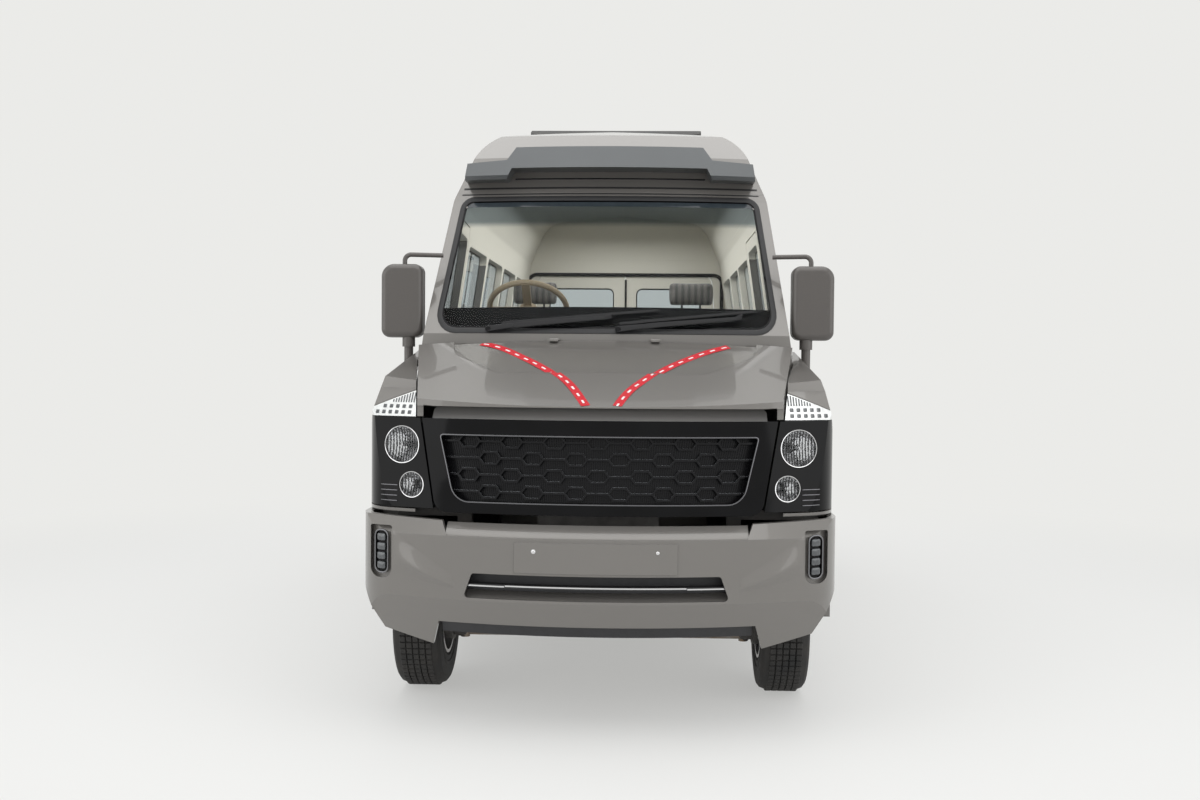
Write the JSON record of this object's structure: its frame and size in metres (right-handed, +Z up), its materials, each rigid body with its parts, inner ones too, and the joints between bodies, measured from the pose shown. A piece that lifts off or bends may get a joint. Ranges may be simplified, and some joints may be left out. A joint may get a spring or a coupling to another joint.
{
  "type": "luxury van",
  "caption": "Semi-bonneted high-roof luxury van in gloss warm grey, with honeycomb grille, round lamps, roof cooling unit, opening doors and bonnet, and twin rear wheels.",
  "frame": {"origin": "on the ground at the middle of the van's box", "axes": "+Z up, the front faces -Y, the van's left side faces +X"},
  "size_m": [2.122, 5.5998, 2.8299],
  "materials": {
    "body_paint": "gloss warm grey",
    "dark_plastic": "satin black moulding",
    "gloss_black": "gloss black",
    "mirror_plastic": "satin taupe",
    "clear_lamp": "clear polished cover",
    "red_lamp": "gloss red",
    "window_glass": "tinted polished",
    "screen_glass": "clear polished",
    "tyre_rubber": "matte black rubber",
    "wiper_rubber": "matte black",
    "wheel_steel": "silver painted steel",
    "chassis_steel": "semi-matte black paint",
    "cast_metal": "as cast",
    "bare_steel": "turned steel",
    "cabin_plastic": "matte beige",
    "floor_cover": "matte vinyl",
    "seat_cover": "tan semi-matte",
    "roof_unit": "satin dark grey"
  },
  "bodies": {
    "body": {"chassis_frame": "chassis_steel", "floor": "floor_cover", "wheel_housings": "dark_plastic", "engine_and_shaft": "cast_metal", "front_axle": "chassis_steel", "rear_axle": "chassis_steel", "leaf_springs": "bare_steel", "fuel_tank": "chassis_steel", "exhaust": "bare_steel", "cab_front": "body_paint", "left_side_wall": "body_paint", "right_side_wall": "body_paint", "roof": "body_paint", "rear_frame": "body_paint", "windscreen": "screen_glass", "side_windows": "window_glass", "roof_visor": "body_paint", "roof_cooling_unit": "roof_unit", "left_fender": "body_paint", "right_fender": "body_paint", "front_bumper": "body_paint", "bumper_grid": "dark_plastic", "day_lamps": "clear_lamp", "grille_surround": "gloss_black", "grille_lattice": "dark_plastic", "garnish_strip": "body_paint", "headlamps": "gloss_black", "round_lamps": "clear_lamp", "signal_lenses": "clear_lamp", "mirrors": "mirror_plastic", "wipers": "wiper_rubber", "dashboard": "cabin_plastic", "cab_seats": "seat_cover", "saloon_seats": "seat_cover", "seat_frames": "chassis_steel", "rear_bumper": "dark_plastic", "tail_lamps": "red_lamp"},
    "steering": {"steering_wheel": "cabin_plastic"},
    "bonnet_lid": {"bonnet": "body_paint"},
    "left_cab_door_leaf": {"left_cab_door": "body_paint", "left_cab_glass": "window_glass"},
    "right_cab_door_leaf": {"right_cab_door": "body_paint", "right_cab_glass": "window_glass"},
    "passenger_door_leaf": {"passenger_door": "body_paint", "passenger_door_glass": "window_glass"},
    "left_rear_door_leaf": {"left_rear_door": "body_paint", "left_rear_glass": "window_glass"},
    "right_rear_door_leaf": {"right_rear_door": "body_paint", "right_rear_glass": "window_glass"},
    "left_steer": {"left_knuckle": "cast_metal"},
    "right_steer": {"right_knuckle": "cast_metal"},
    "tie_rod_link": {"tie_rod": "bare_steel"},
    "left_front_wheel": {"left_front_rim": "wheel_steel", "left_front_tyre": "tyre_rubber"},
    "right_front_wheel": {"right_front_rim": "wheel_steel", "right_front_tyre": "tyre_rubber"},
    "left_rear_wheel": {"left_rear_rims": "wheel_steel", "left_rear_tyres": "tyre_rubber"},
    "right_rear_wheel": {"right_rear_rims": "wheel_steel", "right_rear_tyres": "tyre_rubber"}
  },
  "joints": [
    {"name": "steering_turn", "type": "hinge", "parent": "body", "child": "steering", "pos_m": [-0.4, -1.424, 1.76], "axis": [0, 0.6428, 0.766], "range_deg": [-525, 525]},
    {"name": "left_steer_turn", "type": "hinge", "parent": "body", "child": "left_steer", "pos_m": [0.66, -1.894, 0.35], "axis": [0, 0, 1], "range_deg": [-35, 35]},
    {"name": "right_steer_turn", "type": "hinge", "parent": "body", "child": "right_steer", "pos_m": [-0.66, -1.894, 0.35], "axis": [0, 0, 1], "range_deg": [-35, 35]},
    {"name": "tie_rod_turn", "type": "hinge", "parent": "left_steer", "child": "tie_rod_link", "pos_m": [0.66, -1.744, 0.21], "axis": [0, 0, 1], "range_deg": [-35, 35]},
    {"name": "left_front_spin", "type": "hinge", "parent": "left_steer", "child": "left_front_wheel", "pos_m": [0.8, -1.894, 0.35], "axis": [1, 0, 0], "continuous": true},
    {"name": "right_front_spin", "type": "hinge", "parent": "right_steer", "child": "right_front_wheel", "pos_m": [-0.8, -1.894, 0.35], "axis": [1, 0, 0], "continuous": true},
    {"name": "left_rear_spin", "type": "hinge", "parent": "body", "child": "left_rear_wheel", "pos_m": [0.71, 1.456, 0.35], "axis": [1, 0, 0], "continuous": true},
    {"name": "right_rear_spin", "type": "hinge", "parent": "body", "child": "right_rear_wheel", "pos_m": [-0.71, 1.456, 0.35], "axis": [1, 0, 0], "continuous": true},
    {"name": "left_cab_door_swing", "type": "hinge", "parent": "body", "child": "left_cab_door_leaf", "pos_m": [0.92416, -1.709, 1], "axis": [0, 0, -1], "range_deg": [0, 65]},
    {"name": "right_cab_door_swing", "type": "hinge", "parent": "body", "child": "right_cab_door_leaf", "pos_m": [-0.92416, -1.709, 1], "axis": [0, 0, 1], "range_deg": [0, 65]},
    {"name": "passenger_door_swing", "type": "hinge", "parent": "body", "child": "passenger_door_leaf", "pos_m": [0.974, -0.802, 1], "axis": [0, 0, -1], "range_deg": [0, 80]},
    {"name": "left_rear_door_swing", "type": "hinge", "parent": "body", "child": "left_rear_door_leaf", "pos_m": [0.773, 2.748, 1], "axis": [0, 0, -1], "range_deg": [0, 100]},
    {"name": "right_rear_door_swing", "type": "hinge", "parent": "body", "child": "right_rear_door_leaf", "pos_m": [-0.773, 2.748, 1], "axis": [0, 0, 1], "range_deg": [0, 100]},
    {"name": "bonnet_lift", "type": "hinge", "parent": "body", "child": "bonnet_lid", "pos_m": [0, -1.948, 1.6], "axis": [-1, 0, 0], "range_deg": [0, 50]}
  ],
  "couplings": [
    {"joint": "steering_turn", "follows": "left_steer_turn", "ratio": 15},
    {"joint": "right_steer_turn", "follows": "left_steer_turn", "ratio": 1},
    {"joint": "tie_rod_turn", "follows": "left_steer_turn", "ratio": -1}
  ]
}
